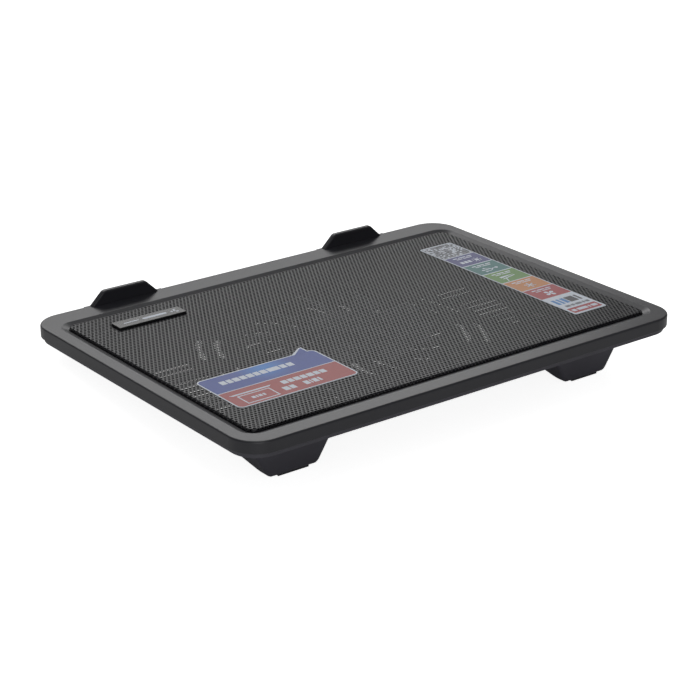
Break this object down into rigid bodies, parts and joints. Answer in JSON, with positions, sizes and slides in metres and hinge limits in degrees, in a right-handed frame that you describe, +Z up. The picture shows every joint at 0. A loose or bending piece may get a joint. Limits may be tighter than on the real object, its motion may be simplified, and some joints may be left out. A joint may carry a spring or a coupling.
{
  "type": "laptop cooling pad",
  "caption": "Slanted laptop cooling pad: perforated metal deck in a rounded black frame with front stoppers, one fan beneath, wedge rear feet and side USB sockets.",
  "frame": {"origin": "centre of the footprint, on the surface that the feet stand on", "axes": "+X along the pad's long side, +Y from the user to the rear, +Z up; the deck tilts 5.9 degrees about X, rear edge up"},
  "size_m": [0.34, 0.2453, 0.0442],
  "materials": {
    "black_plastic": "fine satin grain",
    "black_mesh": "satin powder coat",
    "pad_rubber": "matte",
    "base_plastic": "satin",
    "blade_plastic": "smoky semi gloss",
    "magnet_iron": "dull",
    "steel": "ground",
    "bearing_bronze": "sintered",
    "circuit_board": "solder mask",
    "core_iron": "laminated",
    "copper_wire": "enamelled winding",
    "lamp_lens": "clear moulded lens",
    "socket_metal": "plated",
    "tongue_plastic": "satin",
    "plug_plastic": "satin",
    "lead_sleeve": "matte",
    "screw_steel": "black oxide",
    "badge_black": "satin",
    "label_paper": "gloss printed film"
  },
  "bodies": {
    "pad": {"top_cover": "black_plastic", "mesh_grille": "black_mesh", "bottom_shell": "black_plastic", "rear_foot_left": "black_plastic", "rear_foot_right": "black_plastic", "rear_pad_left": "pad_rubber", "rear_pad_right": "pad_rubber", "front_pad_left": "pad_rubber", "front_pad_right": "pad_rubber", "fan_base": "base_plastic", "fan_bearing": "bearing_bronze", "fan_board": "circuit_board", "stator_core": "core_iron", "stator_coil_1": "copper_wire", "stator_coil_2": "copper_wire", "stator_coil_3": "copper_wire", "stator_coil_4": "copper_wire", "lamp_front": "lamp_lens", "lamp_rear": "lamp_lens", "lamp_left": "lamp_lens", "lamp_right": "lamp_lens", "usb_socket_1": "socket_metal", "usb_socket_2": "socket_metal", "usb_tongue_1": "tongue_plastic", "usb_tongue_2": "tongue_plastic", "usb_board": "circuit_board", "fan_plug": "plug_plastic", "fan_lead": "lead_sleeve", "case_screws": "screw_steel", "fan_screws": "screw_steel", "foot_screws": "screw_steel", "board_screws": "screw_steel", "badge_plate": "badge_black", "feature_label": "label_paper", "callout_label": "label_paper"},
    "rotor": {"fan_rotor": "blade_plastic", "rotor_magnet": "magnet_iron", "fan_shaft": "steel"}
  },
  "joints": [
    {"name": "fan_spin", "type": "hinge", "parent": "pad", "child": "rotor", "pos_m": [0, -0.01254, 0.01745], "axis": [0, -0.1019, 0.9948], "continuous": true}
  ]
}
